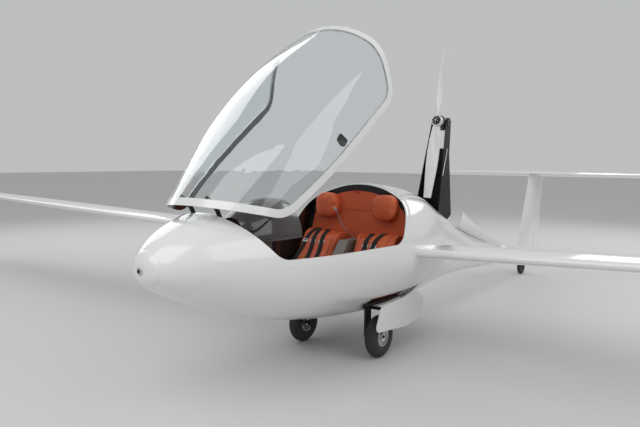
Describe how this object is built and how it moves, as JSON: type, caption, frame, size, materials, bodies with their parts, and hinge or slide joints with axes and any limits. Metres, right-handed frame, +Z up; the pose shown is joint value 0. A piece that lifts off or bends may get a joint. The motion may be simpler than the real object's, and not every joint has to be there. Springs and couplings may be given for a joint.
{
  "type": "motor glider",
  "caption": "Side-by-side self-launching motor glider with its canopy open and the propeller mast raised behind the cockpit.",
  "frame": {"origin": "on the ground, under the middle of the bounding box", "axes": "+X towards the nose, +Y to port, +Z up"},
  "size_m": [7.3699, 14.97, 2.7677],
  "materials": {
    "white_gelcoat": "gloss",
    "clear_acrylic": "clear",
    "orange_leather": "satin",
    "grey_panel": "matte",
    "brown_hood": "gloss",
    "black_plastic": "matte",
    "black_webbing": "matte",
    "black_mast": "satin",
    "bare_aluminium": "polished",
    "steel": "satin",
    "dark_leg": "satin",
    "tyre_rubber": "matte",
    "white_blade": "gloss",
    "battery_case": "matte",
    "floor_composite": "matte"
  },
  "bodies": {
    "airframe": {"fuselage_pod": "white_gelcoat", "rear_fuselage": "white_gelcoat", "back_panel": "orange_leather", "nose_inlet": "bare_aluminium", "tail_boom": "white_gelcoat", "tailplane": "white_gelcoat", "wing_port": "white_gelcoat", "wing_starboard": "white_gelcoat", "canopy_shaft": "steel", "mast_shaft": "steel", "cockpit_floor": "floor_composite", "rear_bulkhead": "black_plastic", "equipment_shelf": "floor_composite", "battery_pack": "battery_case", "seat_port": "orange_leather", "seat_starboard": "orange_leather", "headrest_port": "orange_leather", "headrest_starboard": "orange_leather", "harness_port": "black_webbing", "harness_starboard": "black_webbing", "control_stick_port": "black_plastic", "control_stick_starboard": "black_plastic", "centre_console": "grey_panel", "gooseneck_microphone": "steel", "instrument_pedestal": "grey_panel", "instrument_shroud": "brown_hood", "instrument_panel": "black_plastic", "rudder_pedals": "bare_aluminium", "gear_leg_port": "dark_leg", "gear_leg_starboard": "dark_leg", "gear_door_port": "white_gelcoat", "gear_door_starboard": "white_gelcoat"},
    "canopy": {"canopy_frame": "white_gelcoat", "canopy_glass": "clear_acrylic", "canopy_arms": "black_mast"},
    "bay_door_left": {"bay_door_port": "white_gelcoat"},
    "bay_door_right": {"bay_door_starboard": "white_gelcoat"},
    "mast": {"mast_frame": "black_mast", "motor": "bare_aluminium"},
    "propeller_unit": {"propeller": "white_blade", "hub_plate": "black_mast"},
    "wheel_left": {"main_rim_port": "bare_aluminium", "main_tyre_port": "tyre_rubber"},
    "wheel_right": {"main_rim_starboard": "bare_aluminium", "main_tyre_starboard": "tyre_rubber"},
    "tail_fork_unit": {"tail_fork": "dark_leg"},
    "tail_wheel_unit": {"tail_wheel": "tyre_rubber"},
    "rudder_unit": {"rudder": "white_gelcoat"},
    "elevator_unit": {"elevator": "white_gelcoat"},
    "flaperon_left": {"flaperon_port": "white_gelcoat"},
    "flaperon_right": {"flaperon_starboard": "white_gelcoat"}
  },
  "joints": [
    {"name": "canopy_hinge", "type": "hinge", "parent": "airframe", "child": "canopy", "pos_m": [3.38, 0, 1.12], "axis": [0, -1, 0], "range_deg": [0, 37.6]},
    {"name": "mast_hinge", "type": "hinge", "parent": "airframe", "child": "mast", "pos_m": [0.09, 0, 0.945], "axis": [0, -1, 0], "range_deg": [0, 97]},
    {"name": "propeller_spin", "type": "hinge", "parent": "mast", "child": "propeller_unit", "pos_m": [-0.108, 0, 1.98], "axis": [0.9703, 0, 0.2419], "continuous": true},
    {"name": "bay_door_left_hinge", "type": "hinge", "parent": "airframe", "child": "bay_door_left", "pos_m": [-0.9825, 0.13067, 0.66863], "axis": [0.9662, 0.0662, 0.2491], "range_deg": [0, 86]},
    {"name": "bay_door_right_hinge", "type": "hinge", "parent": "airframe", "child": "bay_door_right", "pos_m": [-0.9825, -0.13067, 0.66863], "axis": [-0.9662, 0.0662, -0.2491], "range_deg": [0, 86]},
    {"name": "main_wheel_left_spin", "type": "hinge", "parent": "airframe", "child": "wheel_left", "pos_m": [1.646, 0.381, 0.17], "axis": [0, 1, 0], "continuous": true},
    {"name": "main_wheel_right_spin", "type": "hinge", "parent": "airframe", "child": "wheel_right", "pos_m": [1.646, -0.381, 0.17], "axis": [0, 1, 0], "continuous": true},
    {"name": "rudder_hinge", "type": "hinge", "parent": "airframe", "child": "rudder_unit", "pos_m": [-3.262, 0, 0.262], "axis": [-0.181, 0, 0.9835], "range_deg": [-25, 25]},
    {"name": "tail_fork_steer", "type": "hinge", "parent": "airframe", "child": "tail_fork_unit", "pos_m": [-2.815, 0, 0.25], "axis": [0, 0, 1], "range_deg": [-25, 25]},
    {"name": "tail_wheel_spin", "type": "hinge", "parent": "tail_fork_unit", "child": "tail_wheel_unit", "pos_m": [-2.845, 0, 0.1], "axis": [0, 1, 0], "continuous": true},
    {"name": "elevator_hinge", "type": "hinge", "parent": "airframe", "child": "elevator_unit", "pos_m": [-3.466, 0, 1.4], "axis": [0, 1, 0], "range_deg": [-20, 18]},
    {"name": "flaperon_left_hinge", "type": "hinge", "parent": "airframe", "child": "flaperon_left", "pos_m": [0.59116, 0.64, 0.76189], "axis": [0.0388, 0.9986, 0.0359], "range_deg": [-15, 15]},
    {"name": "flaperon_right_hinge", "type": "hinge", "parent": "airframe", "child": "flaperon_right", "pos_m": [0.59116, -0.64, 0.76189], "axis": [-0.0388, 0.9986, -0.0359], "range_deg": [-15, 15]}
  ],
  "couplings": [
    {"joint": "tail_fork_steer", "follows": "rudder_hinge", "ratio": 1}
  ]
}
